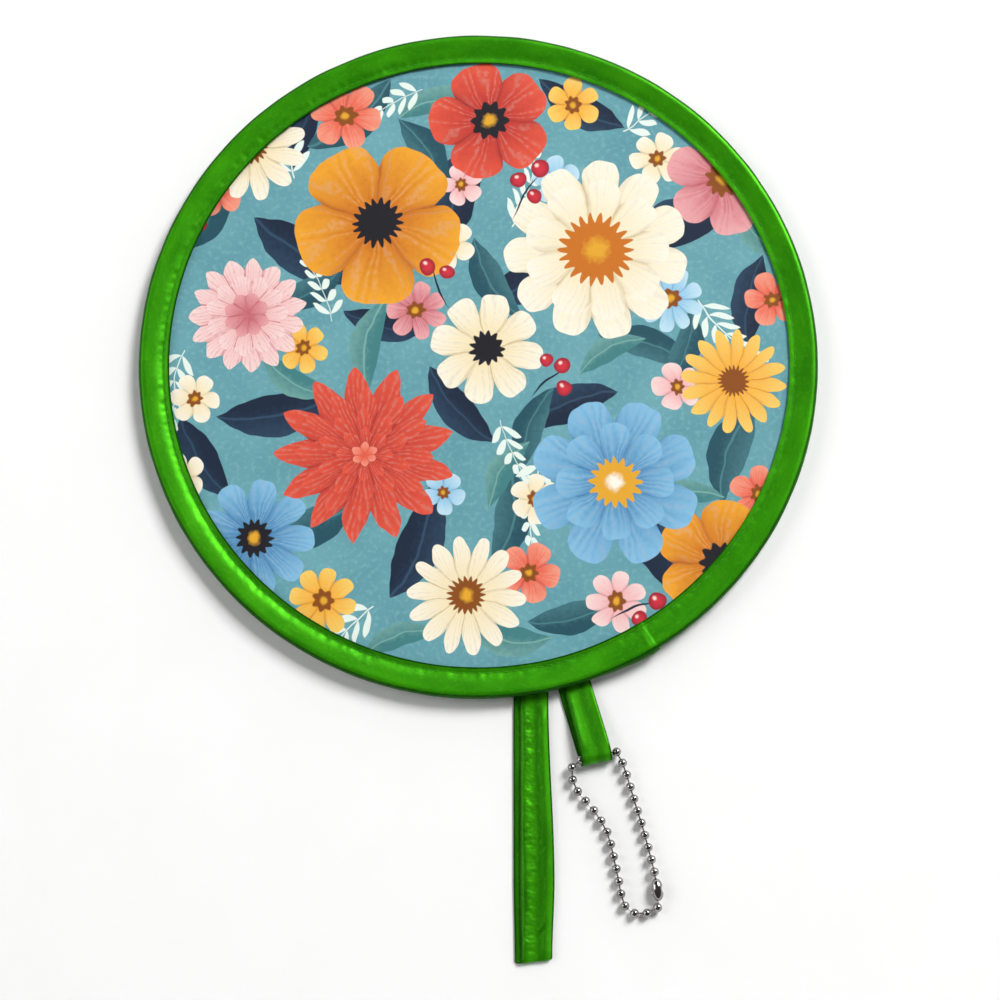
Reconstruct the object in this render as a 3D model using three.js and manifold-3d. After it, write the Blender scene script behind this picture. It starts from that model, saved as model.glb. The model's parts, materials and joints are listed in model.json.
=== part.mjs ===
// A pop-up hand fan: a cloth disc held taut by a spring-steel hoop inside a folded tape binding,
// with a tape handle loop and a short tape tab that carries a bead chain with its clasp.
// It lies on its back. Millimetres, +Z up, +Y from the handle to the far edge of the fan.
// The origin is on the surface that it lies on, at the middle of its outline.

import * as THREE from 'three';
import { mergeVertices } from 'three/addons/utils/BufferGeometryUtils.js';
import Module from 'manifold-3d';

// Disc and binding
const FAN_DIAMETER = 240;
const BINDING_WIDTH = 10.8; // from the outer edge to the sewn inner edge
const TAPE_WALL = 0.5; // the binding tape with its edges folded under
const EDGE_ROUND = 1.3; // outer corners of the binding over the hoop
const SHOULDER = 5.2; // how far in from the outer edge the binding starts to flatten
const CLOTH_THICKNESS = 0.5;
const CLOTH_EDGE_GAP = 2.2; // from the hoop's channel to the cloth's raw edge
const FIT = 0.3; // clearance between pieces that are sewn or slipped together
const FOLD_SPACING = 26; // between the three lines that the disc bends at
const FOLD_GAP = 0.4; // between the panels at a fold line

// Spring hoop and its crimped ferrule
const HOOP_WIDTH = 2;
const HOOP_THICKNESS = 0.5;
const FERRULE_WALL = 0.3;
const FERRULE_GAP = 0.15;
const FERRULE_LENGTH = 14;
const CRIMP_DEPTH = 0.15;
const CRIMP_RADIUS = 0.5;
const HOOP_END_GAP = 0.6;

// Lapped end of the binding tape, over the ferrule
const LAP_END_ANGLE = THREE.MathUtils.degToRad(-58.5);
const LAP_STEP = 0.45;
const LAP_TAB_GAP = 3; // from the chain tab to where the lap starts

// Handle strap: tape folded back on itself
const STRAP_PLY = 0.7;
const STRAP_X = 18.4; // its centre line, right of the fan's centre line
const STRAP_WIDTH = 12;
const STRAP_LENGTH = 90; // from the rim to the fold
const STRAP_BOW = 1.9; // how far its right edge bows out
const STRAP_BOW_AT = 62; // from the rim to the widest place
const STRAP_OPENING = 0.6; // between its plies

// Chain tab: a shorter tape, folded round the chain
const TAB_ANGLE = THREE.MathUtils.degToRad(16.2); // from the fan's centre line
const TAB_WIDTH = 11.6;
const TAB_LENGTH = 27.5; // from the rim to the end of the fold
const TAB_ROOT_GAP = 0.2; // between its plies at the rim

// Bead chain
const BEAD_DIAMETER = 3.2;
const BEAD_WALL = 0.35;
const BEAD_GAP = 1.1; // between beads, where the link shows
const LINK_DIAMETER = 0.56;
const LINK_HOLE_DIAMETER = 0.96;
const LINK_HEAD_DIAMETER = 1.16;
const LINK_HEAD_SEAT = 0.6; // from a bead's centre to the head of the link that enters it
const LINK_HEAD_LENGTH = 0.35;
const SURFACE_GAP = 0.05; // under the beads that lie on the surface

// Chain clasp
const CLASP_WALL = 0.3;
const CLASP_PLAY = 0.25; // round the two end beads
const CLASP_MOUTH_DIAMETER = 1.2;
const CLASP_SLIT = 0.9;
const PEEPHOLE_LENGTH = 3;
const PEEPHOLE_HEIGHT = 2.4;
const END_BEAD_GAP = 0.4; // between the two beads in the clasp

// Steps of the round forms
const RING_STEPS = 48;
const BEAD_STEPS = 8;
const LINK_STEPS = 6;
const CLASP_STEPS = 12;
const CRIMP_STEPS = 10;
const ARC_STEPS = 2;
const BEAD_ARC_STEPS = 3;

// Sizes that follow
const tabHalf = TAB_WIDTH / 2;
const beadRadius = BEAD_DIAMETER / 2;
const beadPitch = BEAD_DIAMETER + BEAD_GAP;
const endBeadSpacing = BEAD_DIAMETER + END_BEAD_GAP;
const clearOfTab = tabHalf + beadRadius;
const bulbInside = beadRadius + FIT;
const bulbOutside = bulbInside + STRAP_PLY;
const onSurface = beadRadius + SURFACE_GAP - bulbOutside;
const claspInside = beadRadius + CLASP_PLAY;
const claspOutside = claspInside + CLASP_WALL;
const claspOnSurface = claspOutside + SURFACE_GAP - bulbOutside;
const claspRun = endBeadSpacing / 2 + beadPitch; // from the clasp's middle to the bead beside it
const outerRadius = FAN_DIAMETER / 2;
const innerRadius = outerRadius - BINDING_WIDTH;
const ferruleReach = FERRULE_GAP + FERRULE_WALL;
const channelHalfHeight = HOOP_WIDTH / 2 + ferruleReach + FIT;
const channelHalfDepth = HOOP_THICKNESS / 2 + ferruleReach + FIT;
const rimHalfHeight = channelHalfHeight + TAPE_WALL;
const hoopRadius = outerRadius - TAPE_WALL - channelHalfDepth;
const clothRadius = hoopRadius - channelHalfDepth - CLOTH_EDGE_GAP;
const slotHalfHeight = CLOTH_THICKNESS / 2 + FIT;
const legHeight = slotHalfHeight + TAPE_WALL;
const tailThickness = 2 * STRAP_PLY;
const rimMiddle = tailThickness + FIT + rimHalfHeight;
const lapStartAngle = TAB_ANGLE - Math.PI / 2 + Math.asin((tabHalf + LAP_TAB_GAP) / innerRadius);
const ferruleAngle = (lapStartAngle + LAP_END_ANGLE) / 2;
const strapRoot = Math.sqrt(outerRadius ** 2 - (STRAP_X - STRAP_WIDTH / 2) ** 2) + FIT;
const tabRoot = outerRadius + FIT;
const hoopCentreY = (strapRoot + STRAP_LENGTH - outerRadius) / 2;
const reach = 2 * FAN_DIAMETER; // longer than anything that is cut

// The chain's loop as it lies, from the clasp up its right leg, through the tab and down its left
// leg. Each point is [across the tab, along it from the chain's axis, up from that axis].
const CLASP_ACROSS = 7.3;
const CLASP_ALONG = 49.4;
const loopEnd = CLASP_ALONG + claspRun;
const CHAIN_ROUTE = [
  [CLASP_ACROSS, CLASP_ALONG, claspOnSurface],
  [CLASP_ACROSS + 0.8, CLASP_ALONG - claspRun - 0.7, claspOnSurface],
  [8.4, 36, onSurface],
  [8.6, 28, onSurface],
  [8.5, 20, onSurface],
  [8.5, 13, onSurface],
  [8.8, 7, onSurface / 2],
  [clearOfTab + 1.2, 1.7, 0],
  [clearOfTab - 1, 0, 0],
  [0, 0, 0],
  [1 - clearOfTab, 0, 0],
  [-clearOfTab - 1.5, 1.6, 0],
  [-9.9, 6, onSurface / 2],
  [-9, 11, onSurface],
  [-6.6, 15.8, onSurface],
  [-4.7, 21, onSurface],
  [-3.5, 27, onSurface],
  [-3.8, 34, onSurface],
  [-4.4, 42, onSurface],
  [-5.1, 49.5, onSurface],
  [-3.9, loopEnd - 1.7, onSurface],
  [-0.2, loopEnd + 0.1, onSurface],
  [4, loopEnd + 0.5, onSurface],
  [CLASP_ACROSS - 1.1, loopEnd - 1.2, claspOnSurface],
];

const wasm = await Module();
wasm.setup();

// A closed geometry as a solid that can be cut and joined.
function solidOf(geometry) {
  const bare = geometry.clone();
  bare.deleteAttribute('normal');
  bare.deleteAttribute('uv');
  const merged = mergeVertices(bare);
  const vertProperties = merged.attributes.position.array;
  const triVerts = new Uint32Array(merged.index.array);
  return new wasm.Manifold(new wasm.Mesh({ numProp: 3, vertProperties, triVerts }));
}

// A solid as a geometry that can be shown.
function geometryOf(solid) {
  const mesh = solid.getMesh();
  const geometry = new THREE.BufferGeometry();
  geometry.setAttribute('position', new THREE.BufferAttribute(mesh.vertProperties, 3));
  geometry.setIndex(new THREE.BufferAttribute(mesh.triVerts, 1));
  geometry.computeVertexNormals();
  return geometry;
}

// A closed section, drawn as radius and height, turned about the fan's axis.
function ring(section) {
  return new THREE.LatheGeometry(section, RING_STEPS).rotateX(Math.PI / 2);
}

// A flat wedge of the fan's plane between two angles, thick enough to cut any piece.
function wedge(from, to) {
  const radius = FAN_DIAMETER;
  const sector = new THREE.Shape();
  sector.moveTo(0, 0);
  sector.lineTo(radius * Math.cos(from), radius * Math.sin(from));
  sector.absarc(0, 0, radius, from, to, false);
  sector.closePath();
  const slab = new THREE.ExtrudeGeometry(sector, { depth: reach, bevelEnabled: false });
  return solidOf(slab.translate(0, 0, -reach / 2));
}

// The stretch of the fan's plane between two fold lines, thick enough to cut any piece.
function panel(from, to) {
  const slab = new THREE.BoxGeometry(reach, to - from - FOLD_GAP, reach);
  return solidOf(slab.translate(0, (from + to) / 2, 0));
}

// The disc bends at three lines across it, so its pieces are parted into two panels and two bands.
const nearPanel = panel(-reach, -FOLD_SPACING);
const bands = [panel(-FOLD_SPACING, 0), panel(0, FOLD_SPACING)];
const farPanel = panel(FOLD_SPACING, reach);
const leftHalf = wedge(Math.PI / 2, 1.5 * Math.PI);
const rightHalf = wedge(-Math.PI / 2, Math.PI / 2);

const satin = new THREE.MeshStandardMaterial({ color: 0x2f9a14, roughness: 0.38, metalness: 0 });
const printedCloth = new THREE.MeshStandardMaterial({ color: 0x5e9aa6, roughness: 0.7, metalness: 0 });
const springSteel = new THREE.MeshStandardMaterial({ color: 0x8d9299, roughness: 0.3, metalness: 1 });
const nickel = new THREE.MeshStandardMaterial({ color: 0xc9cacc, roughness: 0.16, metalness: 1 });

function piece(name, geometry, material) {
  const mesh = new THREE.Mesh(geometry, material);
  mesh.name = name;
  return mesh;
}

// The stretches of a ring that cross the two bands, on the left and on the right.
function bandPieces(name, solid, material) {
  const pieces = [];
  bands.forEach((band, i) => {
    const across = solid.intersect(band);
    const left = geometryOf(across.intersect(leftHalf));
    const right = geometryOf(across.intersect(rightHalf));
    pieces.push(piece(`${name}_band_${i + 1}_left`, left, material));
    pieces.push(piece(`${name}_band_${i + 1}_right`, right, material));
  });
  return pieces;
}

// The binding's section: tape folded round the hoop's channel, its two legs flat on the cloth.
// The lapped end is the same section, grown outwards by one layer of tape.
function bindingSection(grow) {
  const outer = outerRadius + grow;
  const top = rimHalfHeight + grow;
  const leg = legHeight + grow;
  const round = EDGE_ROUND + grow;
  const shoulder = outerRadius - SHOULDER;
  const channelIn = hoopRadius - channelHalfDepth;
  const channelOut = hoopRadius + channelHalfDepth;
  const bend = (innerRadius + shoulder) / 2;
  const section = new THREE.Path();
  section.moveTo(innerRadius, -leg);
  section.quadraticCurveTo(bend, -leg, shoulder, -top);
  section.lineTo(outer - round, -top);
  section.absarc(outer - round, round - top, round, -Math.PI / 2, 0, false);
  section.absarc(outer - round, top - round, round, 0, Math.PI / 2, false);
  section.lineTo(shoulder, top);
  section.quadraticCurveTo(bend, leg, innerRadius, leg);
  section.lineTo(innerRadius, slotHalfHeight);
  section.lineTo(channelIn, slotHalfHeight);
  section.lineTo(channelIn, channelHalfHeight);
  section.lineTo(channelOut - FIT, channelHalfHeight);
  section.lineTo(channelOut, channelHalfHeight - FIT);
  section.lineTo(channelOut, FIT - channelHalfHeight);
  section.lineTo(channelOut - FIT, -channelHalfHeight);
  section.lineTo(channelIn, -channelHalfHeight);
  section.lineTo(channelIn, -slotHalfHeight);
  section.lineTo(innerRadius, -slotHalfHeight);
  section.lineTo(innerRadius, -leg);
  return section.getPoints(ARC_STEPS);
}

// A rectangular section centred on the hoop.
function hoopSection(thickness, width) {
  const section = new THREE.Path();
  section.moveTo(hoopRadius - thickness / 2, -width / 2);
  section.lineTo(hoopRadius + thickness / 2, -width / 2);
  section.lineTo(hoopRadius + thickness / 2, width / 2);
  section.lineTo(hoopRadius - thickness / 2, width / 2);
  section.lineTo(hoopRadius - thickness / 2, -width / 2);
  return section.getPoints();
}

function makeBinding() {
  const tape = solidOf(ring(bindingSection(0)));
  const lap = solidOf(ring(bindingSection(LAP_STEP)));
  const lappedEnd = lap.intersect(wedge(lapStartAngle, LAP_END_ANGLE));
  return [
    piece('binding_near', geometryOf(tape.intersect(nearPanel).add(lappedEnd)), satin),
    ...bandPieces('binding', tape, satin),
    piece('binding_far', geometryOf(tape.intersect(farPanel)), satin),
  ];
}

function makeCloth() {
  const disc = new THREE.CylinderGeometry(clothRadius, clothRadius, CLOTH_THICKNESS, RING_STEPS);
  const cloth = solidOf(disc.rotateX(Math.PI / 2));
  return [
    piece('cloth_near', geometryOf(cloth.intersect(nearPanel)), printedCloth),
    piece('cloth_band_1', geometryOf(cloth.intersect(bands[0])), printedCloth),
    piece('cloth_band_2', geometryOf(cloth.intersect(bands[1])), printedCloth),
    piece('cloth_far', geometryOf(cloth.intersect(farPanel)), printedCloth),
  ];
}

// The hoop is one strip whose ends meet inside the ferrule; the fold lines part it again.
function makeHoop() {
  const strip = solidOf(ring(hoopSection(HOOP_THICKNESS, HOOP_WIDTH)));
  const endAngle = HOOP_END_GAP / 2 / hoopRadius;
  const near = strip.intersect(nearPanel);
  const left = near.intersect(wedge(-Math.PI, ferruleAngle - endAngle));
  const right = near.intersect(wedge(ferruleAngle + endAngle, 0));
  return [
    piece('hoop_near_left', geometryOf(left), springSteel),
    piece('hoop_near_right', geometryOf(right), springSteel),
    ...bandPieces('hoop', strip, springSteel),
    piece('hoop_far', geometryOf(strip.intersect(farPanel)), springSteel),
  ];
}

// A short flat tube round both ends of the hoop, pinched from above and below near each of its ends.
function makeFerrule() {
  const bore = solidOf(ring(hoopSection(HOOP_THICKNESS + 2 * FERRULE_GAP, HOOP_WIDTH + 2 * FERRULE_GAP)));
  const body = solidOf(ring(hoopSection(HOOP_THICKNESS + 2 * ferruleReach, HOOP_WIDTH + 2 * ferruleReach)));
  const halfArc = FERRULE_LENGTH / 2 / hoopRadius;
  const dentHeight = HOOP_WIDTH / 2 + ferruleReach + CRIMP_RADIUS - CRIMP_DEPTH;
  let sleeve = body.subtract(bore).intersect(wedge(ferruleAngle - halfArc, ferruleAngle + halfArc));
  for (const side of [-1, 1]) {
    for (const face of [-1, 1]) {
      const tool = new THREE.CylinderGeometry(CRIMP_RADIUS, CRIMP_RADIUS, BINDING_WIDTH, CRIMP_STEPS);
      tool.rotateZ(Math.PI / 2);
      tool.translate(hoopRadius, 0, face * dentHeight);
      sleeve = sleeve.subtract(solidOf(tool.rotateZ(ferruleAngle + (side * halfArc) / 2)));
    }
  }
  return piece('hoop_ferrule', geometryOf(sleeve), springSteel);
}

// A profile drawn along a tape and upwards, given the tape's width; the tape then runs along -Y.
function tapeFrom(profile, width) {
  const tape = new THREE.ExtrudeGeometry(profile, {
    depth: width,
    bevelEnabled: false,
    curveSegments: ARC_STEPS * 3,
  });
  const along = new THREE.Vector3(0, -1, 0);
  const up = new THREE.Vector3(0, 0, 1);
  tape.applyMatrix4(new THREE.Matrix4().makeBasis(along, up, along.clone().cross(up)));
  return tape.translate(width / 2, 0, 0);
}

// The sewn tail of a strap: both plies pressed together under the binding.
function makeTail(name, width) {
  const tail = new THREE.BoxGeometry(width, BINDING_WIDTH - FIT, tailThickness);
  return piece(name, tail.translate(0, (BINDING_WIDTH + FIT) / 2, tailThickness / 2), satin);
}

function makeHandleStrap() {
  const outside = STRAP_PLY + STRAP_OPENING / 2;
  const inside = STRAP_OPENING / 2;
  const fold = STRAP_LENGTH - outside;
  const profile = new THREE.Shape();
  profile.moveTo(0, 0);
  profile.lineTo(fold, 0);
  profile.absarc(fold, outside, outside, -Math.PI / 2, Math.PI / 2, false);
  profile.lineTo(0, 2 * outside);
  profile.lineTo(0, 2 * outside - STRAP_PLY);
  profile.lineTo(fold, 2 * outside - STRAP_PLY);
  profile.absarc(fold, outside, inside, Math.PI / 2, -Math.PI / 2, true);
  profile.lineTo(0, STRAP_PLY);
  profile.closePath();
  const folded = solidOf(tapeFrom(profile, STRAP_WIDTH + 4 * STRAP_BOW));
  const outline = new THREE.Shape();
  const halfWidth = STRAP_WIDTH / 2;
  outline.moveTo(-halfWidth, FIT);
  outline.lineTo(-halfWidth, -STRAP_LENGTH - FIT);
  outline.lineTo(halfWidth, -STRAP_LENGTH - FIT);
  outline.quadraticCurveTo(halfWidth + 2 * STRAP_BOW, -STRAP_BOW_AT, halfWidth, FIT);
  outline.closePath();
  const block = new THREE.ExtrudeGeometry(outline, {
    depth: 4 * outside,
    bevelEnabled: false,
    curveSegments: ARC_STEPS * 4,
  });
  const cut = folded.intersect(solidOf(block.translate(0, 0, -outside)));
  return piece('handle_strap', geometryOf(cut), satin);
}

// The tab's two plies part near its end to run round the chain.
function makeChainTab() {
  const centre = TAB_LENGTH - bulbOutside;
  const rootHeight = 2 * STRAP_PLY + TAB_ROOT_GAP;
  const rise = bulbOutside - rootHeight;
  const slope = Math.atan2(rise, centre) + Math.asin(bulbOutside / Math.hypot(centre, rise));
  const upright = slope + Math.PI / 2;
  const profile = new THREE.Shape();
  profile.moveTo(0, 0);
  profile.lineTo(centre, 0);
  profile.absarc(centre, bulbOutside, bulbOutside, -Math.PI / 2, upright, false);
  profile.lineTo(0, rootHeight);
  profile.lineTo(0, rootHeight - STRAP_PLY / Math.cos(slope));
  profile.absarc(centre, bulbOutside, bulbInside, upright, -Math.PI / 2, true);
  profile.lineTo(0, STRAP_PLY);
  profile.closePath();
  return piece('chain_tab', tapeFrom(profile, TAB_WIDTH), satin);
}

// A hollow bead with the hole that the last link enters, and the link that it sends to the next.
// The bead's own +Y points away from the last bead.
function beadGeometry(toNext, spacing) {
  const inside = beadRadius - BEAD_WALL;
  const hole = LINK_HOLE_DIAMETER / 2;
  const outerRim = Math.asin(hole / beadRadius) - Math.PI / 2;
  const innerRim = Math.asin(hole / inside) - Math.PI / 2;
  const hollow = new THREE.Path().absarc(0, 0, inside, Math.PI / 2, innerRim, true);
  const skin = new THREE.Path().absarc(0, 0, beadRadius, outerRim, Math.PI / 2, false);
  const section = [...hollow.getPoints(ARC_STEPS), ...skin.getPoints(BEAD_ARC_STEPS)];
  const bead = solidOf(new THREE.LatheGeometry(section, BEAD_STEPS));
  if (!toNext) return geometryOf(bead);
  const start = beadRadius - BEAD_WALL / 2;
  const headStart = spacing - LINK_HEAD_SEAT;
  const headEnd = headStart + LINK_HEAD_LENGTH;
  const link = new THREE.Path();
  link.moveTo(0, start);
  link.lineTo(LINK_DIAMETER / 2, start);
  link.lineTo(LINK_DIAMETER / 2, headStart);
  link.lineTo(LINK_HEAD_DIAMETER / 2, headStart);
  link.quadraticCurveTo(LINK_HEAD_DIAMETER / 2, headEnd, 0, headEnd);
  const pin = new THREE.LatheGeometry(link.getPoints(ARC_STEPS), LINK_STEPS);
  const turn = new THREE.Quaternion().setFromUnitVectors(new THREE.Vector3(0, 1, 0), toNext);
  return geometryOf(bead.add(solidOf(pin.applyQuaternion(turn))));
}

// A lens-shaped shell round the two end beads, with a mouth at each end, a slit that the links
// slip in through, a round window for the beads and a smaller one opposite. Its length is its Y.
function makeClasp() {
  const half = endBeadSpacing / 2;
  const mouth = CLASP_MOUTH_DIAMETER / 2;
  const outerRim = Math.acos(mouth / claspOutside);
  const innerRim = Math.acos(mouth / claspInside);
  const section = new THREE.Path();
  section.absarc(0, -half, claspOutside, -outerRim, 0, false);
  section.absarc(0, half, claspOutside, 0, outerRim, false);
  section.absarc(0, half, claspInside, innerRim, 0, true);
  section.absarc(0, -half, claspInside, 0, -innerRim, true);
  section.closePath();
  const shell = solidOf(new THREE.LatheGeometry(section.getPoints(ARC_STEPS), CLASP_STEPS));
  const slit = new THREE.BoxGeometry(claspOutside * 2, endBeadSpacing + claspOutside * 4, CLASP_SLIT);
  const window = new THREE.CylinderGeometry(claspInside, claspInside, claspOutside * 2, CLASP_STEPS);
  window.rotateZ(Math.PI / 2);
  const peephole = window.clone().scale(
    1,
    PEEPHOLE_LENGTH / 2 / claspInside,
    PEEPHOLE_HEIGHT / 2 / claspInside,
  );
  const open = shell
    .subtract(solidOf(slit.translate(claspOutside, 0, 0)))
    .subtract(solidOf(window.translate(claspOutside + mouth, 0, 0)))
    .subtract(solidOf(peephole.translate(-claspOutside - mouth, 0, 0)));
  return piece('chain_clasp', geometryOf(open), nickel);
}

// The chain in the frame of the tab's end: beads at one spacing along the loop, then the clasp.
function makeChain() {
  const points = CHAIN_ROUTE.map(([across, along, up]) => new THREE.Vector3(across, -along, up));
  const loop = new THREE.CatmullRomCurve3(points, true, 'catmullrom', 0.5);
  loop.arcLengthDivisions = points.length * 40;
  const length = loop.getLength();
  const count = 1 + Math.round((length - endBeadSpacing) / beadPitch);
  const step = (length - endBeadSpacing) / (count - 1);
  const centres = [];
  for (let i = 0; i < count; i++) {
    centres.push(loop.getPointAt((endBeadSpacing / 2 + i * step) / length));
  }
  const chain = new THREE.Group();
  const ahead = new THREE.Vector3(0, 1, 0);
  centres.forEach((centre, i) => {
    const last = centres[(i + count - 1) % count];
    const from = centre.clone().sub(last).normalize();
    const turn = new THREE.Quaternion().setFromUnitVectors(ahead, from);
    const next = i + 1 < count ? centres[i + 1].clone().sub(centre) : null;
    const spacing = next ? next.length() : 0;
    const toNext = next ? next.normalize().applyQuaternion(turn.clone().invert()) : null;
    const number = String(i + 1).padStart(2, '0');
    const bead = piece(`chain_bead_${number}`, beadGeometry(toNext, spacing), nickel);
    bead.position.copy(centre);
    bead.quaternion.copy(turn);
    chain.add(bead);
  });
  const along = centres[0].clone().sub(centres[count - 1]).normalize();
  const side = along.clone().cross(new THREE.Vector3(0, 0, 1)).normalize();
  const upright = side.clone().cross(along);
  const clasp = makeClasp();
  clasp.position.copy(centres[0]).add(centres[count - 1]).multiplyScalar(0.5);
  clasp.quaternion.setFromRotationMatrix(new THREE.Matrix4().makeBasis(side, along, upright));
  chain.add(clasp);
  return chain;
}

const fan = new THREE.Group();
const hoopFrame = new THREE.Group();
hoopFrame.position.set(0, hoopCentreY, 0);
fan.add(hoopFrame);

const disc = new THREE.Group();
disc.position.z = rimMiddle;
disc.add(...makeBinding(), ...makeCloth(), ...makeHoop(), makeFerrule());
hoopFrame.add(disc);

const handle = new THREE.Group();
handle.position.set(STRAP_X, -strapRoot, 0);
handle.add(makeHandleStrap(), makeTail('handle_strap_tail', STRAP_WIDTH));
hoopFrame.add(handle);

const tab = new THREE.Group();
tab.rotation.z = TAB_ANGLE;
tab.position.set(tabRoot * Math.sin(TAB_ANGLE), -tabRoot * Math.cos(TAB_ANGLE), 0);
tab.add(makeChainTab(), makeTail('chain_tab_tail', TAB_WIDTH));
hoopFrame.add(tab);

const chain = makeChain();
chain.position.set(0, bulbOutside - TAB_LENGTH, bulbOutside);
tab.add(chain);

export default fan;
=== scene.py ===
"""The looks of a pop-up hand fan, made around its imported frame.

Metres, +Z up. The fan lies on its back, with its handle towards -Y.
"""

import json
import math

import bmesh
import bpy
from mathutils import Matrix, Vector, noise
from mathutils.geometry import interpolate_bezier

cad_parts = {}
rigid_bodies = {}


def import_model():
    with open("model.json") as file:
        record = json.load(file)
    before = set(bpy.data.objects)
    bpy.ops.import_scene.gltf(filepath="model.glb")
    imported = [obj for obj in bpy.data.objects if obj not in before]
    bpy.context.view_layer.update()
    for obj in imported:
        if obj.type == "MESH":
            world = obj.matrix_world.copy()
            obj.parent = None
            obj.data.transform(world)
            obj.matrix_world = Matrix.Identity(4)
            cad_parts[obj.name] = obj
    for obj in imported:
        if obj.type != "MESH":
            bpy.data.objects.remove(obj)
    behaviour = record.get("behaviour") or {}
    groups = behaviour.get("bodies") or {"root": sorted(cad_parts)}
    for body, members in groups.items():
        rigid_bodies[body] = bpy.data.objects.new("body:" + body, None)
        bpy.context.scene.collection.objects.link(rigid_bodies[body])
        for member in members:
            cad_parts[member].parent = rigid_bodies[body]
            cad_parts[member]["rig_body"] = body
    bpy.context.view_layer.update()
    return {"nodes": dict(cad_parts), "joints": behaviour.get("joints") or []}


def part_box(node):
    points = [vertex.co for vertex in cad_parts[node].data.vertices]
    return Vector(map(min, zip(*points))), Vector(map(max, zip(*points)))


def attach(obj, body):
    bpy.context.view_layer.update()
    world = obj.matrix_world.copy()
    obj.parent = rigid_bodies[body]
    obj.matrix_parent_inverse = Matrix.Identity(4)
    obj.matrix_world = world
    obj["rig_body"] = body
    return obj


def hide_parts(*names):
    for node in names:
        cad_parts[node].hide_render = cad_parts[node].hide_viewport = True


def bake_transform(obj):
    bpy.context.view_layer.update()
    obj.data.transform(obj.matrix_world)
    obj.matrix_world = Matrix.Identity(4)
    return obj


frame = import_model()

mm = 0.001
MERGE_DISTANCE = 0.001 * mm
CRISP_ANGLE = math.radians(42)  # sharper edges stay crisp
SECTORS = 8  # of a piece turned about the fan's axis
joint = {j["name"]: j for j in frame["joints"]}

# The disc, from the frame
hub = Vector(joint["hoop_fold_middle"]["pos_m"])
fold_near_y = joint["hoop_fold"]["pos_m"][1]
fold_far_y = joint["hoop_fold_far"]["pos_m"][1]
rim_low, rim_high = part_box("binding_far")
fan_radius = rim_high.y - hub.y
rim_bottom, rim_top = rim_low.z, rim_high.z
rim_middle = (rim_bottom + rim_top) / 2
strip_low, strip_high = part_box("hoop_far")
cloth_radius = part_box("cloth_far")[1].y - hub.y

# Tape binding
BINDING_WIDTH = 10.8 * mm
NARROWING = 0.8 * mm  # on its upper right
TAPE_PLY = 0.45 * mm
EDGE_HALF_HEIGHT = 0.85 * mm  # of its sewn inner edge
CREST_INSET = 2.2 * mm  # of its highest line, from the fan's edge
ROUNDED_EDGE = 0.6 * mm  # its outer turn, which gets painted shade darker than its face
PROFILE_STEPS = 15
BINDING_STEPS = 960
STITCH_INSET = 1.9 * mm  # from the inner edge
STITCH_HEIGHT = 1.19 * mm  # before the tape is drawn in
STITCH_PITCH = 3.0 * mm
STITCH_LENGTH = 2.1 * mm
STITCH_DIP = 0.16 * mm  # of its ends
THREAD_RADIUS = 0.17 * mm
THREAD_SIDES = 6
stitch_radius = fan_radius - BINDING_WIDTH + STITCH_INSET
LAP_FROM, LAP_TO = math.radians(-71), math.radians(-58.5)
LAP_HEIGHT = 0.8 * mm  # above the tape under it
LAP_STEPS = 96

# Cloth disc and hoop
CLOTH_PLY = 0.3 * mm
CLOTH_STEPS = 240
CLOTH_RINGS = 36
HOOP_THICKNESS = 0.5 * mm
HOOP_END_GAP = 0.6 * mm
HOOP_STEPS = 240
FOLD_REACH = 12 * mm  # each side of a fold line

# Straps
STRAP_PLY = 0.62 * mm
STRAP_LENGTH = 90 * mm
STRAP_LEFT_EDGES = -6.1 * mm, -4.0 * mm  # of its lower and its upper ply
STRAP_RIGHT_EDGES = 4.8 * mm, 6.0 * mm
STRAP_BOW = 1.9 * mm  # of its right edge
STRAP_BOW_AT = 62 * mm
STRAP_SLANT = 1.2 * mm  # how much shorter its right edge is
STRAP_FOLD = 0.86 * mm  # outside radius
STRAP_CLEARANCE = 0.04 * mm  # above the surface
STRAP_ROOT = 1.45 * mm  # height of its upper face at the rim
STRAP_STEPS = 100, 10, 280, 12  # out, fold, back and tail
TAB_WIDTH = 11.6 * mm
TAB_LEFT_STEP, TAB_RIGHT_STEP = 2.0 * mm, 1.2 * mm  # between the edges of its two plies
TAB_LENGTH = 27 * mm
TAB_BULB = 2.58 * mm  # outside radius of that turn
TAB_TURN_TO = math.radians(98)
TAB_ROOT = 1.5 * mm
TAB_STEPS = 40, 18, 36, 10
TAIL_LENGTH = 10.4 * mm  # of each sewn end
TAIL_TOP = 1.36 * mm
TAPE_ROWS_ACROSS = 24

# Bead chain
BEAD_RADIUS = 1.6 * mm
BEAD_WALL = 0.3 * mm
BEAD_SQUASH = 0.97  # along the chain
BEAD_SIDES, BEAD_RINGS = 22, 15
BEAD_COUNT = 32
END_BEAD_SPACING = 3.6 * mm
ROUTE_STEPS = 40  # between two points of its route
LINK_RADIUS = 0.29 * mm
LINK_HEAD_RADIUS = 0.55 * mm
LINK_HEAD_AT = 0.75 * mm  # from the middle of its bead
LINK_SIDES = 10
CLASP_RADIUS = 2.15 * mm
CLASP_WALL = 0.3 * mm
CLASP_MOUTH = 0.62 * mm
CLASP_SLIT = 0.9 * mm
CLASP_WINDOW = 1.5 * mm
CLASP_PEEPHOLE = 1.0 * mm
CLASP_CUTS_END = 2.4 * mm  # either way from its middle
CLASP_SIDES, CLASP_RINGS = 40, 18


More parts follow.
